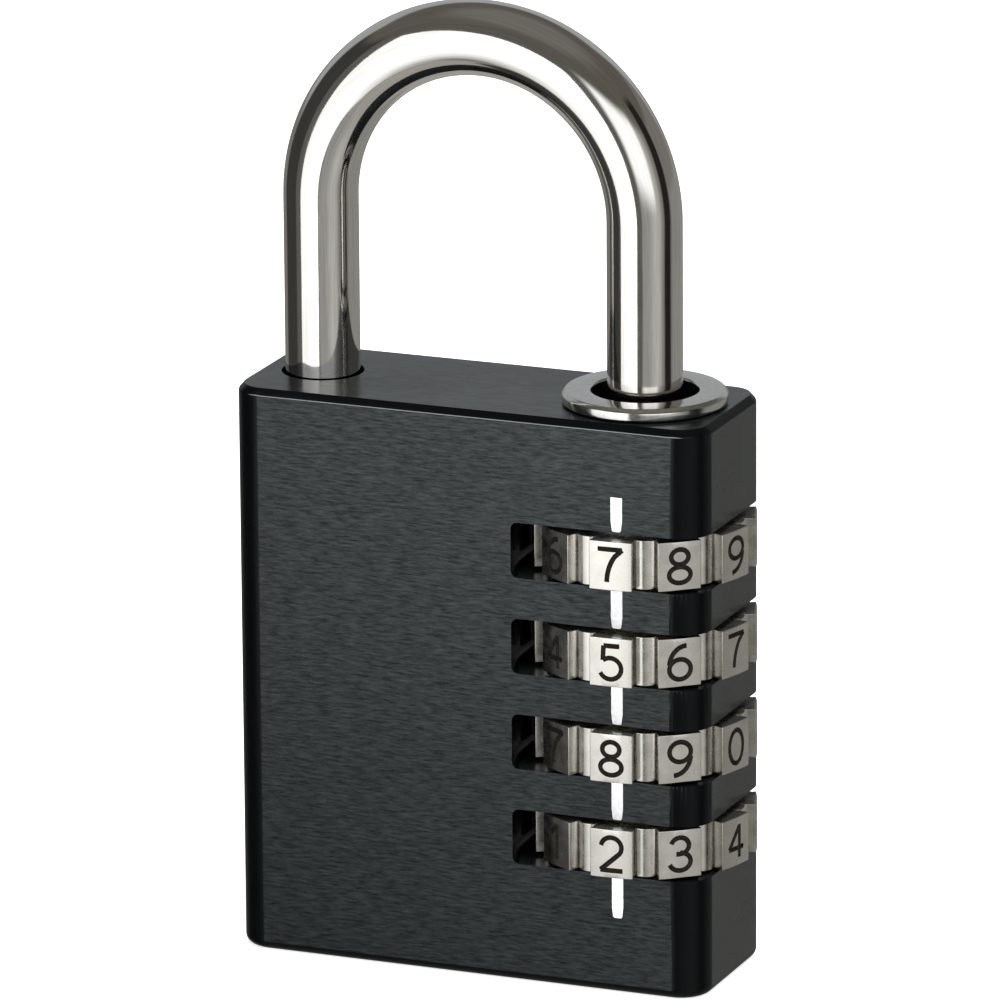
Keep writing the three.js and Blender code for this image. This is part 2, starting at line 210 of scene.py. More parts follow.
def add_rod(bm, points, sides, radii, closed=False, around=12):
    """A round rod along points. sides holds a direction across the rod at each point, square to any
    bend, so that corners keep their width. UVs are the lengths along and around the rod."""
    uv_layer = bm.loops.layers.uv.verify()
    count = len(points)
    rings = []
    lengths = [0.0]
    for i in range(1, count + 1):
        lengths.append(lengths[-1] + (points[i % count] - points[i - 1]).length)
    for i, point in enumerate(points):
        before = points[i - 1] if closed or i > 0 else None
        after = points[(i + 1) % count] if closed or i < count - 1 else None
        arriving = (point - before).normalized() if before is not None else None
        leaving = (after - point).normalized() if after is not None else arriving
        arriving = arriving or leaving
        along = (arriving + leaving).normalized()
        side = (sides[i] - along * sides[i].dot(along)).normalized()
        across = along.cross(side)
        stretch = min(1.25, 1 / max(0.2, along.dot(leaving)))
        ring = []
        for k in range(around):
            angle = TURN * k / around
            offset = side * math.cos(angle) + across * math.sin(angle) * stretch
            ring.append(bm.verts.new(point + offset * radii[i]))
        rings.append(ring)
    spans = count if closed else count - 1
    for i in range(spans):
        ring, other = rings[i], rings[(i + 1) % count]
        for k in range(around):
            m = (k + 1) % around
            face = bm.faces.new((ring[k], ring[m], other[m], other[k]))
            turn = TURN * radii[i] / around
            corners = [(i, k), (i, k + 1), (i + 1, k + 1), (i + 1, k)]
            for loop, (station, step) in zip(face.loops, corners):
                loop[uv_layer].uv = (lengths[station], step * turn)
    if not closed:
        bm.faces.new(rings[0])
        bm.faces.new(rings[-1])
    return bm


def tool(bm, material, offset=(0, 0, 0)):
    """A throw-away solid that cuts or joins another piece."""
    obj = mesh_object("tool", bm, material)
    obj.data.transform(Matrix.Translation(offset))
    return obj


def bake_modifiers(obj):
    bpy.context.view_layer.update()
    graph = bpy.context.evaluated_depsgraph_get()
    mesh = bpy.data.meshes.new_from_object(obj.evaluated_get(graph))
    obj.modifiers.clear()
    obj.data = mesh


def combine(obj, cutter, operation="DIFFERENCE"):
    """Cut obj with the cutter, or join the two, and leave only obj."""
    modifier = obj.modifiers.new("combine", "BOOLEAN")
    modifier.operation = operation
    modifier.solver = "MANIFOLD"
    modifier.material_mode = "TRANSFER"
    modifier.object = cutter
    bake_modifiers(obj)
    bpy.data.objects.remove(cutter)


def ease_edges(obj, width, segments=2, angle=32):
    modifier = obj.modifiers.new("ease", "BEVEL")
    modifier.width = width
    modifier.segments = segments
    modifier.limit_method = "ANGLE"
    modifier.angle_limit = math.radians(angle)
    bake_modifiers(obj)


def smooth(obj, angle=40):
    mesh = obj.data
    mesh.polygons.foreach_set("use_smooth", [True] * len(mesh.polygons))
    mesh.set_sharp_from_angle(angle=math.radians(angle))
    modifier = obj.modifiers.new("weighted_normals", "WEIGHTED_NORMAL")
    modifier.keep_sharp = True


def place(obj, body, slot_name, *nodes):
    """Finish a piece and put it on its body, in the place of the CAD nodes named."""
    smooth(obj)
    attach(obj, body)
    if nodes:
        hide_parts(*nodes)


def polar(radius, angle, height=0.0):
    return Vector((radius * math.cos(angle), radius * math.sin(angle), height))


def drum(radius, low, high, segments=96):
    circle = [tuple(polar(radius, TURN * i / segments).xy) for i in range(segments)]
    return prism(circle, low, high)


def box(low, high):
    corners = [(low[0], low[1]), (high[0], low[1]), (high[0], high[1]), (low[0], high[1])]
    return prism(corners, low[2], high[2])


# ---------------------------------------------------------------- material helpers


class Nodes:
    """Short names for building a material's node tree."""

    def __init__(self, name):
        self.material = bpy.data.materials.new(name)
        self.material.use_nodes = True
        self.tree = self.material.node_tree
        self.shader = self.tree.nodes["Principled BSDF"]

    def add(self, kind, **settings):
        node = self.tree.nodes.new(kind)
        for key, value in settings.items():
            setattr(node, key, value)
        return node

    def link(self, source, target):
        self.tree.links.new(source, target)

    def set(self, **values):
        for key, value in values.items():
            self.shader.inputs[key.replace("_", " ")].default_value = value

    def coordinates(self, scale, kind="Object"):
        where = self.add("ShaderNodeTexCoord")
        mapping = self.add("ShaderNodeMapping")
        mapping.inputs["Scale"].default_value = scale
        self.link(where.outputs[kind], mapping.inputs["Vector"])
        return mapping.outputs["Vector"]

    def noise(self, vector, detail=3.0, roughness=0.5):
        node = self.add("ShaderNodeTexNoise")
        node.inputs["Scale"].default_value = 1.0
        node.inputs["Detail"].default_value = detail
        node.inputs["Roughness"].default_value = roughness
        self.link(vector, node.inputs["Vector"])
        return node.outputs["Fac"]

    def span(self, value, low, high, source_low=0.3, source_high=0.7):
        node = self.add("ShaderNodeMapRange")
        node.inputs["From Min"].default_value = source_low
        node.inputs["From Max"].default_value = source_high
        node.inputs["To Min"].default_value = low
        node.inputs["To Max"].default_value = high
        self.link(value, node.inputs["Value"])
        return node.outputs["Result"]

    def ramp(self, value, *stops):
        node = self.add("ShaderNodeValToRGB")
        elements = node.color_ramp.elements
        while len(elements) < len(stops):
            elements.new(0.5)
        for element, (position, colour) in zip(elements, stops):
            element.position = position
            element.color = (*colour, 1)
        self.link(value, node.inputs["Fac"])
        return node.outputs["Color"]

    def math(self, operation, *values):
        node = self.add("ShaderNodeMath", operation=operation)
        for socket, value in zip(node.inputs, values):
            if isinstance(value, bpy.types.NodeSocket):
                self.link(value, socket)
            else:
                socket.default_value = value
        return node.outputs[0]

    def mix(self, factor, first, second):
        node = self.add("ShaderNodeMix", data_type="RGBA")
        self.link(factor, node.inputs["Factor"])
        for name, value in (("A", first), ("B", second)):
            if isinstance(value, bpy.types.NodeSocket):
                self.link(value, node.inputs[name])
            else:
                node.inputs[name].default_value = (*value, 1)
        return node.outputs["Result"]

    def facing_masks(self):
        """Where the surface faces squarely along an axis, and where it leans up from the front: the
        mask of the painted glint.
        """
        where = self.add("ShaderNodeTexCoord")
        split = self.add("ShaderNodeSeparateXYZ")
        self.link(where.outputs["Normal"], split.inputs["Vector"])
        sizes = [self.math("ABSOLUTE", split.outputs[axis]) for axis in "XYZ"]
        largest = self.math("MAXIMUM", self.math("MAXIMUM", sizes[0], sizes[1]), sizes[2])
        flat = self.span(largest, 0, 1, 0.996, 0.9992)
        # Leaning up, not steep and facing the front: where the painted glint goes.
        upward = self.span(split.outputs["Z"], 0, 1, 0.16, 0.24)
        not_steep = self.span(split.outputs["Z"], 1, 0, 0.5, 0.6)
        front = self.span(split.outputs["Y"], 1, 0, -0.93, -0.88)
        painted_glint = self.math("MULTIPLY", self.math("MULTIPLY", upward, not_steep), front)
        return flat, painted_glint

    def bump(self, value, distance, strength=1.0, under=None):
        node = self.add("ShaderNodeBump")
        node.inputs["Strength"].default_value = strength
        node.inputs["Distance"].default_value = distance
        self.link(value, node.inputs["Height"])
        if under is not None:
            self.link(under, node.inputs["Normal"])
        return node.outputs["Normal"]

    def wire(self, **sources):
        for key, source in sources.items():
            self.link(source, self.shader.inputs[key.replace("_", " ")])


def black_anodised():
    """Black anodised aluminium: glossy flats brushed along X, and smooth roundings painted darker,
    partly as painted shade. A painted glint, a painted highlight, lies along the front's upward edges."""
    n = Nodes("black_anodised")
    n.set(Metallic=0.0, IOR=1.5, Specular_Tint=(0.9, 1, 1.02, 1))
    streaks = n.noise(n.coordinates((700, 5200, 5200)), detail=5, roughness=0.8)
    mottle = n.noise(n.coordinates((120, 120, 160)), detail=2)
    flat, painted_glint = n.facing_masks()
    brushed = n.ramp(streaks, (0.35, (0.001, 0.0012, 0.0013)), (0.75, (0.012, 0.0145, 0.015)))
    # Brushed grain on the flats and near black on the roundings. The roundings' darkness is partly
    # painted shade, standing in for their dark reflections.
    grain_and_painted_shade = n.mix(flat, (0.0012, 0.0015, 0.0018), brushed)
    # Painted highlight: a light grey glint is painted on the front's upward edge facets.
    tone = n.mix(painted_glint, grain_and_painted_shade, (0.14, 0.155, 0.16))
    gloss = n.math("MULTIPLY", flat, n.span(streaks, 0.04, 0.5, 0.34, 0.66))
    normal = n.bump(streaks, 0.008 * MM, 0.6)
    n.wire(Base_Color=tone, Roughness=n.span(mottle, 0.2, 0.28), Normal=normal)
    n.wire(Specular_IOR_Level=n.math("ADD", gloss, 0.14))
    return n.material


def chrome():
    """Drawn and polished steel with fine lines along the rod and a slight waviness."""
    n = Nodes("chrome")
    n.set(Metallic=1.0)
    lines = n.noise(n.coordinates((180, 5200, 1), "UV"), detail=4, roughness=0.7)
    waves = n.noise(n.coordinates((60, 700, 1), "UV"), detail=2)
    tone = n.ramp(lines, (0.35, (0.66, 0.64, 0.61)), (0.65, (0.78, 0.77, 0.75)))
    normal = n.bump(waves, 0.02 * MM, 0.35)
    normal = n.bump(lines, 0.001 * MM, 0.5, normal)
    n.wire(Base_Color=tone, Roughness=n.span(lines, 0.045, 0.12), Normal=normal)
    return n.material


def turned_chrome():
    """The collar's polish, without a rod to run along."""
    n = Nodes("turned_chrome")
    n.set(Metallic=1.0)
    grain = n.noise(n.coordinates((2600, 2600, 2600)), detail=4, roughness=0.7)
    waves = n.noise(n.coordinates((300, 300, 300)), detail=2)
    tone = n.ramp(grain, (0.35, (0.6, 0.59, 0.57)), (0.65, (0.72, 0.71, 0.69)))
    normal = n.bump(waves, 0.02 * MM, 0.3)
    n.wire(Base_Color=tone, Roughness=n.span(grain, 0.1, 0.2), Normal=normal)
    return n.material


def satin_nickel():
    """Tumbled nickel plate: a fine even grain with soft spots."""
    n = Nodes("satin_nickel")
    n.set(Metallic=1.0)
    grain = n.noise(n.coordinates((9000, 9000, 9000)), detail=3, roughness=0.6)
    spots = n.noise(n.coordinates((900, 900, 900)), detail=3)
    tone = n.ramp(spots, (0.3, (0.62, 0.6, 0.56)), (0.7, (0.76, 0.74, 0.7)))
    normal = n.bump(grain, 0.003 * MM, 0.5)
    n.wire(Base_Color=tone, Roughness=n.span(spots, 0.22, 0.32), Normal=normal)
    return n.material


def black_fill():
    """Matt black-brown paint in the cut numbers."""
    n = Nodes("black_fill")
    n.set(Metallic=0.0, Specular_IOR_Level=0.15)
    grain = n.noise(n.coordinates((8000, 8000, 8000)), detail=3)
    tone = n.ramp(grain, (0.35, (0.004, 0.003, 0.0025)), (0.7, (0.018, 0.014, 0.01)))
    n.wire(Base_Color=tone, Roughness=n.span(grain, 0.5, 0.7), Normal=n.bump(grain, 0.006 * MM, 0.6))
    return n.material


def white_print():
    """Satin white paint, slightly uneven."""
    n = Nodes("white_print")
    n.set(Metallic=0.0)
    grain = n.noise(n.coordinates((4000, 4000, 4000)), detail=3)
    tone = n.ramp(grain, (0.3, (0.72, 0.75, 0.76)), (0.7, (0.88, 0.9, 0.9)))
    n.wire(Base_Color=tone, Roughness=n.span(grain, 0.35, 0.5), Normal=n.bump(grain, 0.004 * MM, 0.5))
    return n.material


def turned_brass():
    """Lathe-turned brass with fine rings."""
    n = Nodes("turned_brass")
    n.set(Metallic=1.0)
    rings = n.noise(n.coordinates((40, 40, 9000)), detail=2)
    tone = n.ramp(rings, (0.35, (0.5, 0.34, 0.13)), (0.65, (0.68, 0.5, 0.22)))
    n.wire(Base_Color=tone, Roughness=n.span(rings, 0.25, 0.4), Normal=n.bump(rings, 0.003 * MM, 0.5))
    return n.material


def spring_steel():
    """Grey spring steel with a drawn grain."""
    n = Nodes("spring_steel")
    n.set(Metallic=1.0)
    grain = n.noise(n.coordinates((3000, 3000, 3000)), detail=4, roughness=0.6)
    tone = n.ramp(grain, (0.35, (0.2, 0.21, 0.22)), (0.65, (0.34, 0.35, 0.36)))
    n.wire(Base_Color=tone, Roughness=n.span(grain, 0.25, 0.42), Normal=n.bump(grain, 0.004 * MM, 0.4))
    return n.material


def painted_shade_steel():
    """Spring steel painted near black, as painted shade for the deep slots the click springs sit in,
    dull with a faint grain.
    """
    n = Nodes("painted_shade_steel")
    n.set(Metallic=1.0)
    grain = n.noise(n.coordinates((2400, 2400, 2400)), detail=4, roughness=0.6)
    tone = n.ramp(grain, (0.35, (0.015, 0.015, 0.016)), (0.65, (0.04, 0.04, 0.042)))
    n.wire(Base_Color=tone, Roughness=n.span(grain, 0.35, 0.5), Normal=n.bump(grain, 0.004 * MM, 0.4))
    return n.material


BLACK = black_anodised()
CHROME = chrome()
COLLAR_CHROME = turned_chrome()
NICKEL = satin_nickel()
FILL = black_fill()
WHITE = white_print()
BRASS = turned_brass()
STEEL = spring_steel()
PAINTED_SHADE_STEEL = painted_shade_steel()

# ---------------------------------------------------------------- body


def rounded_rectangle(inset, steps=14):
    """The body's outline seen from above, pulled in by inset, with a fixed number of points."""
    radius = EDGE_RADIUS - inset
    x = BODY_WIDTH / 2 - EDGE_RADIUS
    y = BODY_DEPTH / 2 - EDGE_RADIUS
    corners = [(x, -y, -90), (x, y, 0), (-x, y, 90), (-x, -y, 180)]
    points = []
    for corner_x, corner_y, start in corners:
        for step in range(steps + 1):
            spot = polar(radius, math.radians(start + 90 * step / steps))
            points.append((corner_x + spot.x, corner_y + spot.y))
    return points


def block_levels():
    levels = []
    steps = 8
    for step in range(steps + 1):
        angle = math.radians(90 * step / steps)
        inset = BASE_ROUNDING * (1 - math.sin(angle))
        height = BASE_ROUNDING * (1 - math.cos(angle))
        levels.append([(x, y, height) for x, y in rounded_rectangle(inset)])
    chamfer_foot = BODY_TOP - TOP_CHAMFER
    # Below the top chamfer a narrow facet leans up, and the material paints a highlight on it: the
    # painted glint.
    upper = [(0, chamfer_foot - GLINT_EDGE_HEIGHT), (GLINT_EDGE_INSET, chamfer_foot), (TOP_CHAMFER, BODY_TOP)]
    for inset, height in upper:
        levels.append([(x, y, height) for x, y in rounded_rectangle(inset)])
    return levels


def slot_disc():
    """The disc cutter that saws a dial's slot, with its rim's corners rounded."""
    half = DIAL_HEIGHT / 2 + SLOT_GAP
    rounding = SLOT_CUTTER_ROUNDING
    inner = SLOT_CUTTER_RADIUS - rounding
    steps = 5
    profile = [(0, -half)]
    for step in range(steps + 1):
        angle = math.radians(90 * step / steps)
        profile.append((inner + rounding * math.sin(angle), -half + rounding * (1 - math.cos(angle))))
    profile += [(radius, -height) for radius, height in reversed(profile)]
    return turned(profile, 240)


def make_body():
    past = 1 * MM
    body = mesh_object("body_block", stack(block_levels()), BLACK)
    axis = (DIAL_X, 0, 0)
    combine(body, tool(drum(LOCK_BORE, -past, LOCK_BORE_TOP), BLACK, axis))
    combine(body, tool(drum(SKIRT_BORE, LOCK_BORE_TOP - past, BODY_TOP + past), BLACK, axis))
    combine(body, tool(drum(COLLAR_POCKET, collar_low.z - GAP, BODY_TOP + past), BLACK, axis))
    toe_bottom = BODY_TOP - TOE_DEPTH - TOE_HOLE_SPARE
    combine(body, tool(drum(ROD_RADIUS + GAP, toe_bottom, BODY_TOP + past), BLACK, (TOE_X, 0, 0)))
    disc_x = DIAL_X - DIAL_RADIUS - SLOT_END_GAP + SLOT_CUTTER_RADIUS
    for middle in DIAL_MIDDLES:
        combine(body, tool(slot_disc(), BLACK, (disc_x, 0, middle)))
    ease_edges(body, FINE_EDGE)
    place(body, "case", "body", "body")


def line_outline(low, high):
    """A stroke of the index line, seen from the front, a little narrower where it ends below."""
    half = LINE_WIDTH / 2
    tip = LINE_TIP_SHARE * half
    ease = 0.1 * MM
    taper = 0.9 * MM
    return [
        (LINE_X - half, high),
        (LINE_X - half, low + taper),
        (LINE_X - tip, low + ease),
        (LINE_X - tip + ease, low),
        (LINE_X + tip - ease, low),
        (LINE_X + tip, low + ease),
        (LINE_X + half, low + taper),
        (LINE_X + half, high),
    ]


def make_index_line():
    """White strokes between the slots, a little proud of the front face."""
    slot_half = DIAL_HEIGHT / 2 + SLOT_GAP + FINE_EDGE
    edges = [LINE_TOP]
    for middle in DIAL_MIDDLES:
        edges += [middle + slot_half, middle - slot_half]
    edges.append(LINE_BOTTOM)
    for number, (high, low) in enumerate(zip(edges[0::2], edges[1::2]), 1):
        outline = line_outline(low, high)
        levels = [[(x, y, z) for x, z in outline] for y in (FRONT + PAINT, FRONT - PAINT)]
        line = mesh_object(f"index_line_{number}", stack(levels), WHITE)
        place(line, "case", "white_paint")


def make_collar():
    under = BODY_TOP + COLLAR_LIFT
    top = collar_high.z
    profile = [
        (COLLAR_HOLE, collar_low.z),
        (COLLAR_SPIGOT, collar_low.z),
        (COLLAR_SPIGOT, under),
        (COLLAR_RIM - COLLAR_EASE, under),
        (COLLAR_RIM, under + COLLAR_EASE),
        (COLLAR_RIM, top - COLLAR_CHAMFER),
        (COLLAR_RIM - COLLAR_CHAMFER, top),
        (COLLAR_HOLE + COLLAR_EASE, top),
        (COLLAR_HOLE, top - COLLAR_EASE),
    ]
    collar = mesh_object("leg_collar", turned(profile, 128), COLLAR_CHROME)
    collar.data.transform(Matrix.Translation((DIAL_X, 0, 0)))
    ease_edges(collar, 0.06 * MM)
    place(collar, "case", "chrome", "shackle_collar")


def make_plug():
    low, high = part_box("bottom_plug")
    radius = (high.x - low.x) / 2
    ease = (high.z - low.z) / 3
    outer = [(radius - ease, low.z), (radius, low.z + ease), (radius, high.z)]
    profile = [(0, low.z), *outer, (0, high.z)]
    plug = mesh_object("base_plug", turned(profile), BLACK)
    plug.data.transform(Matrix.Translation((DIAL_X, 0, 0)))
    ease_edges(plug, FINE_EDGE)
    place(plug, "case", "body", "bottom_plug")


# ---------------------------------------------------------------- shackle


def shackle_stations():
    """Points up the long leg, over the crown and down the short leg, with the rod's radius at each."""
    crown_steps = 96
    leg_steps = 6
    points = [Vector((CROWN_RADIUS, 0, LEG_BOTTOM)), Vector((CROWN_RADIUS, 0, LEG_BOTTOM + ROD_TIP))]
    radii = [ROD_RADIUS - ROD_TIP, ROD_RADIUS]
    for step in range(1, leg_steps):
        height = LEG_BOTTOM + ROD_TIP + (CROWN_CENTRE - LEG_BOTTOM - ROD_TIP) * step / leg_steps
        points.append(Vector((CROWN_RADIUS, 0, height)))
    for step in range(crown_steps + 1):
        spot = polar(CROWN_RADIUS, math.pi * step / crown_steps)
        points.append(Vector((spot.x, 0, CROWN_CENTRE + spot.y)))
    toe_bottom = BODY_TOP - TOE_DEPTH
    for step in range(1, leg_steps):
        height = CROWN_CENTRE + (toe_bottom + ROD_TIP - CROWN_CENTRE) * step / leg_steps
        points.append(Vector((-CROWN_RADIUS, 0, height)))
    points += [Vector((-CROWN_RADIUS, 0, toe_bottom + ROD_TIP)), Vector((-CROWN_RADIUS, 0, toe_bottom))]
    radii += [ROD_RADIUS] * (len(points) - 3) + [ROD_RADIUS - ROD_TIP]
    return [point + Vector((CROWN_X, 0, 0)) for point in points], radii


def make_shackle():
    points, radii = shackle_stations()
    sides = [Vector((0, 1, 0))] * len(points)
    shackle = mesh_object("shackle_bow", add_rod(bmesh.new(), points, sides, radii, around=72), CHROME)
    for middle in DIAL_MIDDLES:
        top = middle - GATE_HALF_HEIGHT - GAP
        bar = box((-LUG_RADIUS, -LUG_WIDTH / 2, top - LUG_HEIGHT), (0, LUG_WIDTH / 2, top))
        combine(shackle, tool(bar, CHROME, (DIAL_X, 0, 0)), "UNION")
    clip_low, clip_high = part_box("retaining_clip")
    low, high = clip_low.z - GAP / 2, clip_high.z + GAP / 2
    inner, outer = ROD_RADIUS - CLIP_GROOVE_DEPTH, ROD_RADIUS + 1 * MM
    ring = turned([(inner, low), (outer, low), (outer, high), (inner, high)])
    combine(shackle, tool(ring, CHROME, (DIAL_X, 0, 0)))
    place(shackle, "shackle", "chrome", "shackle")


def make_clip():
    low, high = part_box("retaining_clip")
    outer = (high.y - low.y) / 2
    inner = ROD_RADIUS - CLIP_GRIP
    steps = 48
    sweep = TURN - 2 * CLIP_MOUTH
    angles = [CLIP_MOUTH + sweep * step / steps for step in range(steps + 1)]
    outline = [tuple(polar(outer, a).xy) for a in angles]
    outline += [tuple(polar(inner, a).xy) for a in reversed(angles)]
    clip = mesh_object("leg_clip", prism(outline, low.z, high.z), STEEL)
    clip.data.transform(Matrix.Translation((DIAL_X, 0, 0)))
    ease_edges(clip, 0.06 * MM)
    place(clip, "shackle", "spring", "retaining_clip")


# ---------------------------------------------------------------- dials


def arc(centre_x, centre_y, radius_x, radius_y, start, end, steps=14):
    """Points of an ellipse's arc from one angle to another, in degrees."""
    points = []
    for step in range(steps + 1):
        angle = math.radians(start + (end - start) * step / steps)
        points.append((centre_x + radius_x * math.cos(angle), centre_y + radius_y * math.sin(angle)))
    return points


def rotated_half_turn(strokes):
    return [([(-x, -y) for x, y in points], closed) for points, closed in strokes]


def digit_strokes(digit):
    """A digit's strokes as (points, closed) on a figure one unit high, centred on the origin, and
    about two thirds of a unit wide."""
    if digit == 0:
        return [(arc(0, 0, 0.31, 0.5, 90, 450, 32)[:-1], True)]
    if digit == 1:
        return [([(0.06, 0.5), (0.06, -0.5)], False), ([(-0.2, 0.27), (0.06, 0.5)], False)]
    if digit == 2:
        hook = arc(0, 0.2, 0.3, 0.3, 172, -38)
        return [(hook + [(-0.32, -0.5)], False), ([(-0.32, -0.5), (0.33, -0.5)], False)]
    if digit == 3:
        upper = arc(-0.01, 0.25, 0.26, 0.25, 165, -90)
        lower = arc(-0.01, -0.23, 0.31, 0.27, 90, -165)
        return [(upper, False), (lower, False), ([(-0.12, 0), (0, 0)], False)]
    if digit == 4:
        upright = [(0.14, 0.5), (0.14, -0.5)]
        slope = [(0.13, 0.46), (-0.33, -0.2)]
        return [(upright, False), (slope, False), ([slope[1], (0.34, -0.2)], False)]
    if digit == 5:
        bowl = arc(-0.01, -0.18, 0.32, 0.32, 132, -155, 18)
        return [(bowl, False), ([(0.26, 0.5), (-0.2, 0.5)], False), ([(-0.2, 0.5), bowl[0]], False)]
    if digit == 6:
        loop = arc(0, -0.2, 0.31, 0.3, 90, 450, 28)[:-1]
        tail = arc(0.19, -0.1, 0.5, 0.6, 176, 90, 12)
        return [(loop, True), (tail, False)]
    if digit == 7:
        leg = arc(0.62, -0.52, 0.72, 1.1, 127, 178, 10)
        return [([(-0.36, 0.5), (0.35, 0.5)], False), ([(0.35, 0.5)] + leg[1:], False)]
    if digit == 8:
        upper = arc(0, 0.275, 0.25, 0.225, 90, 450, 24)[:-1]
        lower = arc(0, -0.26, 0.31, 0.24, 90, 450, 26)[:-1]
        return [(upper, True), (lower, True)]
    return rotated_half_turn(digit_strokes(6))


def add_stroke(bm, digit, depth, outline, closed):
    """A digit's stroke as a round cutter that runs along its number pad's face."""
    pad_angle = TURN * (digit / POSITIONS - 0.25) + READING_ANGLE
    pad_face = DIAL_RADIUS * math.cos(PAD_SHARE * math.pi / POSITIONS) + PAD_BULGE / 2
    outward = polar(1, pad_angle)
    right = Vector((-outward.y, outward.x, 0))
    start = outward * (pad_face + STROKE_RADIUS - depth)
    points = []
    for x, y in outline:
        points.append(start + right * x * DIGIT_WIDTH + Vector((0, 0, y * DIGIT_HEIGHT)))
    add_rod(bm, points, [outward] * len(points), [STROKE_RADIUS] * len(points), closed, 14)


def number_cutter(digit):
    """A number's strokes joined into one cutter. Each next stroke runs a little deeper, so that no
    two share a surface."""
    cutter = None
    for order, (outline, closed) in enumerate(digit_strokes(digit)):
        bm = bmesh.new()
        add_stroke(bm, digit, STROKE_DEPTH + STROKE_STEP * order, outline, closed)
        stroke = tool(bm, FILL)
        if cutter is None:
            cutter = stroke
        else:
            combine(cutter, stroke, "UNION")
    return cutter


def dial_outline():
    """Number pads that bulge a little, and between each two a broad finger rib in a groove."""
    step = TURN / POSITIONS
    pad_half = PAD_SHARE * step / 2
    groove_half = step / 2 - pad_half
    floor_half = groove_half * GROOVE_FLOOR_SHARE
    steps = 8
    points = []
    for index in range(POSITIONS):
        pad = index * step - TURN / 4 + READING_ANGLE
        rib = pad + step / 2
        left = polar(DIAL_RADIUS, pad - pad_half)
        right = polar(DIAL_RADIUS, pad + pad_half)
        for number in range(steps + 1):
            share = number / steps
            bulge = PAD_BULGE * 4 * share * (1 - share)
            points.append(tuple((left.lerp(right, share) + polar(bulge, pad)).xy))
        points.append(tuple(polar(GROOVE_RADIUS, rib - floor_half).xy))
        for number in range(steps + 1):
            share = 2 * number / steps - 1
            radius = RIB_TOP - RIB_CROWN * (RIB_TOP - GROOVE_RADIUS) * share * share
            points.append(tuple(polar(radius, rib + share * RIB_SHARE * groove_half).xy))
        points.append(tuple(polar(GROOVE_RADIUS, rib + floor_half).xy))
    return points


def notched_bore():
    """A dial's bore, with a notch for each number that the sleeve's keys can sit in."""
    half = KEY_NOTCH_HALF_WIDTH / LOCK_BORE
    bore = SLEEVE_RADIUS + GAP
    step = TURN / POSITIONS
    points = []
    for index in range(POSITIONS):
        notch = index * step - TURN / 4
        points.append(tuple(polar(bore, notch - half).xy))
        points.append(tuple(polar(LOCK_BORE, notch - half).xy))
        points.append(tuple(polar(LOCK_BORE, notch + half).xy))
        points.append(tuple(polar(bore, notch + half).xy))
        for part in (0.3, 0.5, 0.7):
            points.append(tuple(polar(bore, notch + step * part).xy))
    return points


def make_dial_pattern():
    """One dial about the origin with every number cut, its 0 to the front."""
    half = DIAL_HEIGHT / 2
    past = 0.5 * MM
    dial = mesh_object("dial_pattern", prism(dial_outline(), -half, half), NICKEL)
    combine(dial, tool(prism(notched_bore(), -half - past, half + past), NICKEL))
    ease_edges(dial, DIAL_EDGE, 3, 38)
    for digit in range(POSITIONS):
        combine(dial, number_cutter(digit))
    return dial


def make_dials():
    pattern = make_dial_pattern()
    for name, shown, middle in zip(DIALS, SHOWN_DIGITS, DIAL_MIDDLES):
        dial = bpy.data.objects.new(f"number_{name}", pattern.data.copy())
        bpy.context.scene.collection.objects.link(dial)
        turn = Matrix.Rotation(-TURN * shown / POSITIONS, 4, "Z")
        dial.data.transform(Matrix.Translation((DIAL_X, 0, middle)) @ turn)
        place(dial, name, "dials", name)
    bpy.data.objects.remove(pattern)


# ---------------------------------------------------------------- inner pieces


def make_sleeves():
    """The sleeves inside the dials: two keys outside, and above each lug a gate with one slot."""
    half = GATE_HALF_HEIGHT
    past = 1 * MM
    for number, middle in enumerate(DIAL_MIDDLES, 1):
        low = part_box(f"sleeve_{number}")[0].z - middle
        sleeve = mesh_object(f"clutch_sleeve_{number}", drum(SLEEVE_RADIUS, low, half), BRASS)
        keys = box((-KEY_HALF_WIDTH, -KEY_RADIUS, -half), (KEY_HALF_WIDTH, KEY_RADIUS, half))
        combine(sleeve, tool(keys, BRASS), "UNION")
        slot_low = (-SKIRT_BORE, -GATE_HALF_WIDTH, -half - past)
        slot_high = (0, GATE_HALF_WIDTH, half + past)
        combine(sleeve, tool(box(slot_low, slot_high), BRASS))
        combine(sleeve, tool(drum(GATE_BORE, low - past, half + past), BRASS))
        combine(sleeve, tool(drum(SKIRT_BORE, low - past, -half), BRASS))
        sleeve.data.transform(Matrix.Translation((DIAL_X, 0, middle)))
        place(sleeve, f"dial_{number}", "brass", f"sleeve_{number}")


def make_washer(name, node):
    low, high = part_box(node)
    inner = SKIRT_BORE + SLIDE_GAP / 2
    profile = [(inner, low.z), (KEY_RADIUS, low.z), (KEY_RADIUS, high.z), (inner, high.z)]
    washer = mesh_object(name, turned(profile), STEEL)
    washer.data.transform(Matrix.Translation((DIAL_X, 0, 0)))
    ease_edges(washer, 0.08 * MM)
    place(washer, "case", "spring", node)


def make_sleeve_spring():
    low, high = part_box("sleeve_spring")
    wire = 0.35 * MM
    turns = 2.5
    steps = 120
    radius = (SKIRT_BORE + LOCK_BORE) / 2
    points = []
    sides = []
    for step in range(steps + 1):
        share = step / steps
        height = low.z + wire + (high.z - low.z - 2 * wire) * share
        angle = turns * TURN * share
        points.append(polar(radius, angle, height) + Vector((DIAL_X, 0, 0)))
        sides.append(polar(1, angle))
    coil = add_rod(bmesh.new(), points, sides, [wire] * len(points), around=16)
    place(mesh_object("coil_spring", coil, STEEL), "case", "spring", "sleeve_spring")


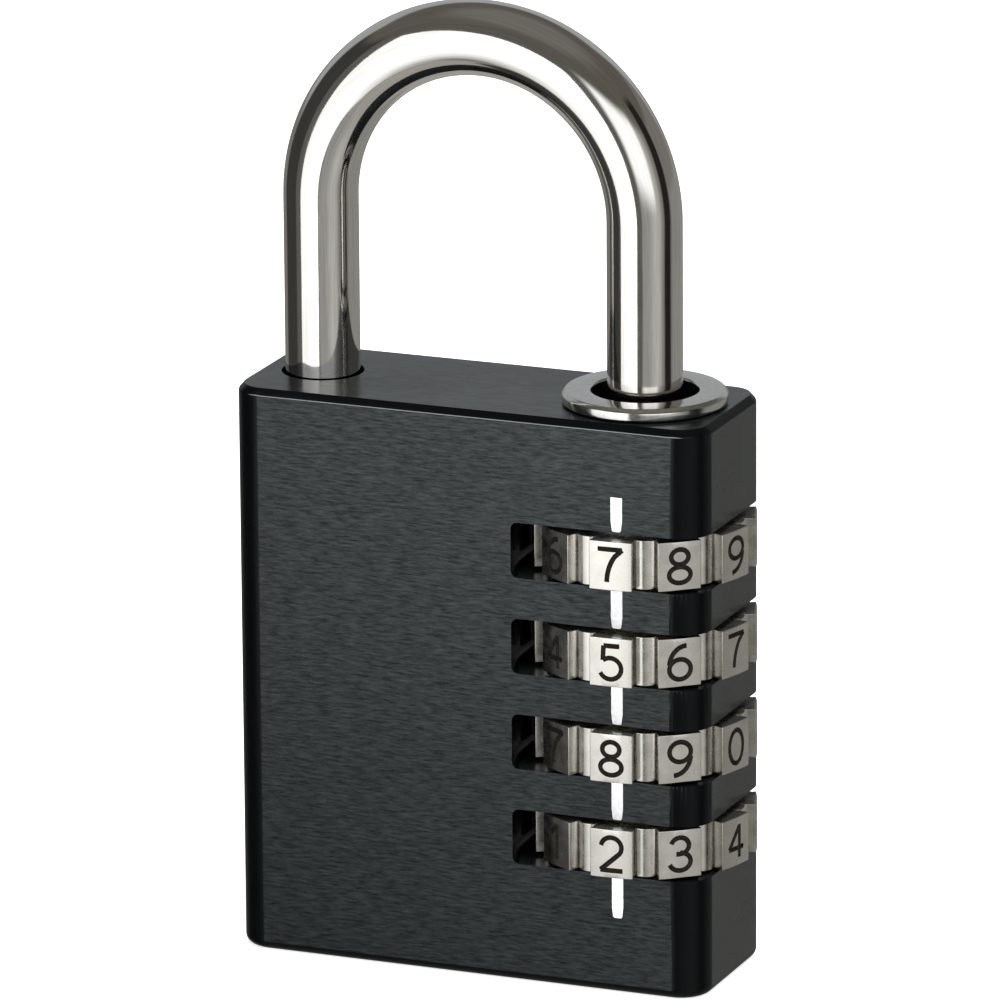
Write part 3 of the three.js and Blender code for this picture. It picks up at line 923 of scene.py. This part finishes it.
def make_leaves():
    """Bowed click springs, whose noses stand over the rib at the inner end of each slot."""
    thickness = 0.2 * MM
    half_height = 1.3 * MM
    half_length = 3 * MM
    foot = 0.75 * MM
    seat = DIAL_X - DIAL_RADIUS - SLOT_END_GAP / 2
    nose = DIAL_X - RIB_TOP - GAP
    nose_y = -RIB_TOP * math.sin(READING_ANGLE)
    rise = nose - seat - thickness / 2
    steps = 16
    front = [(seat + thickness / 2, -half_length)]
    back = [(seat - thickness / 2, -half_length)]
    for number in range(steps + 1):
        share = 2 * number / steps - 1
        bow = rise * (1 - share * share)
        front.append((seat + thickness / 2 + bow, nose_y + foot * share))
        back.append((seat - thickness / 2 + bow, nose_y + (foot - thickness) * share))
    front.append((seat + thickness / 2, half_length))
    back.append((seat - thickness / 2, half_length))
    for number, middle in enumerate(DIAL_MIDDLES, 1):
        bm = prism(front + back[::-1], middle - half_height, middle + half_height)
        # Near-black steel: painted shade for the deep slot the spring sits in.
        leaf = mesh_object(f"click_spring_{number}", bm, PAINTED_SHADE_STEEL)
        place(leaf, "case", "spring", f"click_leaf_{number}")


# ---------------------------------------------------------------- studio


def make_camera():
    """A long lens to the right of the front and a little above, close to level."""
    azimuth = math.radians(22.16)
    elevation = math.radians(15.93)
    roll = math.radians(-0.391)
    distance = 811 * MM
    aim = Vector((0.03, 0.43, 37.26)) * MM
    flat = Vector((math.sin(azimuth), -math.cos(azimuth), 0))
    back = flat * math.cos(elevation) + Vector((0, 0, math.sin(elevation)))
    right = Vector((math.cos(azimuth), math.sin(azimuth), 0))
    up = back.cross(right)
    tilted_right = right * math.cos(roll) + up * math.sin(roll)
    tilted_up = up * math.cos(roll) - right * math.sin(roll)
    data = bpy.data.cameras.new("camera")
    data.lens = 368.25
    data.sensor_width = 36
    data.clip_start = 0.01
    camera = bpy.data.objects.new("camera", data)
    bpy.context.scene.collection.objects.link(camera)
    axes = Matrix((tilted_right, tilted_up, back)).transposed().to_4x4()
    camera.matrix_world = Matrix.Translation(aim + back * distance) @ axes
    bpy.context.scene.camera = camera


def make_floor():
    """A plain white floor, hidden from the polished steel."""
    bm = bmesh.new()
    bmesh.ops.create_grid(bm, x_segments=1, y_segments=1, size=3)
    n = Nodes("floor")
    n.set(Roughness=0.9, Base_Color=(0.85, 0.85, 0.85, 1))
    n.set(Emission_Color=(1, 1, 1, 1), Emission_Strength=0.8)
    floor = mesh_object("floor", bm, n.material)
    floor.location.z = body_low.z
    floor.visible_glossy = False


class Sky:
    """The studio's surroundings as soft-edged panels placed by compass angle and height, in degrees.
    Angle 0 is the front, growing to the right of the object."""

    def __init__(self, base):
        world = bpy.data.worlds.new("studio")
        world.use_nodes = True
        bpy.context.scene.world = world
        self.tree = world.node_tree
        self.background = self.tree.nodes["Background"]
        where = self.tree.nodes.new("ShaderNodeTexCoord")
        split = self.tree.nodes.new("ShaderNodeSeparateXYZ")
        self.tree.links.new(where.outputs["Generated"], split.inputs["Vector"])
        flipped = self.math("MULTIPLY", split.outputs["Y"], -1)
        angle = self.math("ARCTAN2", split.outputs["X"], flipped)
        self.angle = self.math("MULTIPLY", angle, 180 / math.pi)
        rise = self.math("ARCSINE", split.outputs["Z"])
        self.rise = self.math("MULTIPLY", rise, 180 / math.pi)
        start = self.tree.nodes.new("ShaderNodeRGB")
        start.outputs[0].default_value = (*base, 1)
        self.colour = start.outputs[0]

    def math(self, operation, first, second=None):
        node = self.tree.nodes.new("ShaderNodeMath")
        node.operation = operation
        for socket, value in zip(node.inputs, (first, second)):
            if isinstance(value, bpy.types.NodeSocket):
                self.tree.links.new(value, socket)
            elif value is not None:
                socket.default_value = value
        return node.outputs[0]

    def edge(self, value, start, end):
        node = self.tree.nodes.new("ShaderNodeMapRange")
        node.interpolation_type = "SMOOTHSTEP"
        node.inputs["From Min"].default_value = start
        node.inputs["From Max"].default_value = end
        self.tree.links.new(value, node.inputs["Value"])
        return node.outputs["Result"]

    def band(self, value, low, high, soft):
        rising = self.edge(value, low - soft, low + soft)
        falling = self.edge(value, high - soft, high + soft)
        return self.math("MULTIPLY", rising, self.math("SUBTRACT", 1, falling))

    def panel(self, angles, rises, colour, soft=2.0):
        across = self.band(self.angle, *angles, soft)
        mask = self.math("MULTIPLY", across, self.band(self.rise, *rises, soft))
        node = self.tree.nodes.new("ShaderNodeMix")
        node.data_type = "RGBA"
        self.tree.links.new(mask, node.inputs["Factor"])
        self.tree.links.new(self.colour, node.inputs["A"])
        node.inputs["B"].default_value = (*colour, 1)
        self.colour = node.outputs["Result"]

    def finish(self):
        self.tree.links.new(self.colour, self.background.inputs["Color"])
        self.background.inputs["Strength"].default_value = 1.0


def make_studio():
    """What the polished steel shows: a dim warm room with a bright right wall. Each panel is its
    compass angles, its heights, its colour and how soft its edges are; later ones lie on top."""
    sky = Sky((0.22, 0.205, 0.19))
    sky.panel((-400, 400), (27, 95), (0.13, 0.12, 0.105), 3)
    sky.panel((-400, 400), (60, 95), (0.2, 0.19, 0.17), 10)
    sky.panel((-400, 400), (-95, -30), (0.42, 0.41, 0.38), 4)
    sky.panel((-108, -52), (-60, 30), (0.05, 0.05, 0.047), 3)
    sky.panel((-60, 14), (-40, 30), (0.13, 0.13, 0.12), 2)
    sky.panel((-190, -110), (2, 34), (0.42, 0.44, 0.45), 4)
    sky.panel((165, 190), (2, 34), (0.42, 0.44, 0.45), 4)
    sky.panel((112, 190), (-60, 0), (0.3, 0.3, 0.28), 4)
    sky.panel((15, 72), (-50, 26), (0.36, 0.36, 0.34), 2)
    sky.panel((42, 72), (-50, 26), (0.55, 0.55, 0.52), 14)
    sky.panel((15, 60), (-4, 30), (1.4, 1.4, 1.4), 6)
    sky.panel((84, 106), (-50, 40), (0.02, 0.018, 0.016), 3)
    sky.finish()


def make_card():
    """The white card close to the front's left, which makes the shackle's white band. It is
    brightest at its upper right."""
    start, end = Vector((-58, -50, 0)) * MM, Vector((9.5, -112, 0)) * MM
    low, high = -45 * MM, 112 * MM
    bm = bmesh.new()
    corners = [(start, low), (end, low), (end, high), (start, high)]
    uv_layer = bm.loops.layers.uv.new("card")
    face = bm.faces.new([bm.verts.new((spot.x, spot.y, height)) for spot, height in corners])
    for loop, uv in zip(face.loops, ((0, 0), (1, 0), (1, 1), (0, 1))):
        loop[uv_layer].uv = uv
    n = Nodes("white_card")
    where = n.add("ShaderNodeTexCoord")
    split = n.add("ShaderNodeSeparateXYZ")
    n.link(where.outputs["UV"], split.inputs["Vector"])
    across = n.span(split.outputs["X"], 0.1, 0.9, 0.2, 0.85)
    upwards = n.span(split.outputs["Y"], 0.15, 1.3, 0.12, 0.48)
    n.set(Base_Color=(0, 0, 0, 1), Roughness=1.0, Emission_Color=(1, 1, 0.99, 1))
    n.wire(Emission_Strength=n.math("ADD", across, upwards))
    card = mesh_object("white_card", bm, n.material)
    card.visible_camera = False
    card.visible_diffuse = False
    card.visible_shadow = False


def make_lamp(name, position, size, energy):
    data = bpy.data.lights.new(name, "AREA")
    data.size = size
    data.energy = energy
    lamp = bpy.data.objects.new(name, data)
    bpy.context.scene.collection.objects.link(lamp)
    position = Vector(position)
    target = Vector((0, 0, BODY_TOP / 2))
    lamp.location = position
    lamp.rotation_euler = (position - target).to_track_quat("Z", "Y").to_euler()
    lamp.visible_glossy = False


# ---------------------------------------------------------------- the whole

make_camera()
make_body()
make_index_line()
make_collar()
make_plug()
make_shackle()
make_clip()
make_dials()
make_sleeves()
make_washer("top_washer", "thrust_washer")
make_washer("seat_washer", "spring_seat")
make_sleeve_spring()
make_leaves()
make_floor()
make_studio()
make_card()
make_lamp("top_light", (0.15, -0.15, 0.6), 0.4, 8)
bpy.context.scene.view_settings.view_transform = "Standard"
